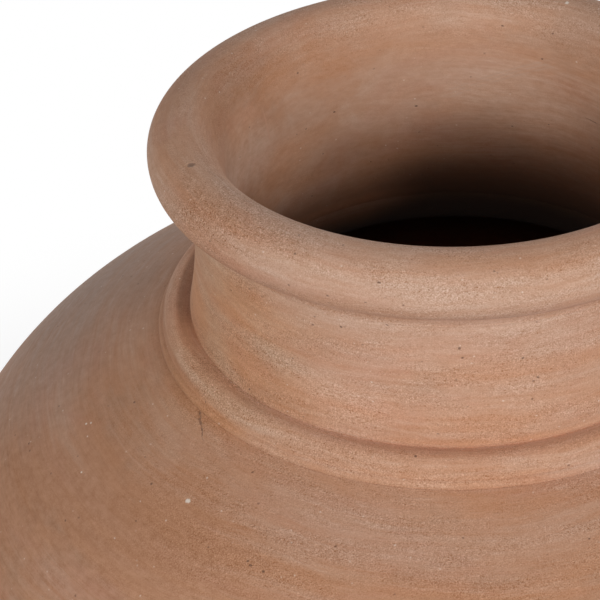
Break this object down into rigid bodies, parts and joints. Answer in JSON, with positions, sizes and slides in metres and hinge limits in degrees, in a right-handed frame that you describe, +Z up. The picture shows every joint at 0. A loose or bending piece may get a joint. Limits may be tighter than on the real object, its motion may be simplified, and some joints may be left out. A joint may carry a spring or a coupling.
{
  "type": "terracotta jar planter",
  "caption": "Large round-bellied terracotta jar planter with a rolled rim, a waisted neck, a grooved cordon at the neck's foot and a drain hole.",
  "frame": {"origin": "centre of the ring that the jar stands on, at ground level", "axes": "+Z up along the jar's axis of turning"},
  "size_m": [0.576, 0.576, 0.6086],
  "materials": {
    "terracotta": "matte, unglazed, wheel-wiped"
  },
  "bodies": {
    "root": {"floor_slab": "terracotta", "lower_wall": "terracotta", "flank_wall": "terracotta", "belly_wall": "terracotta", "shoulder_wall": "terracotta", "seat_wall": "terracotta", "neck_cordon": "terracotta", "neck_collar": "terracotta", "rim_roll": "terracotta"}
  },
  "joints": []
}
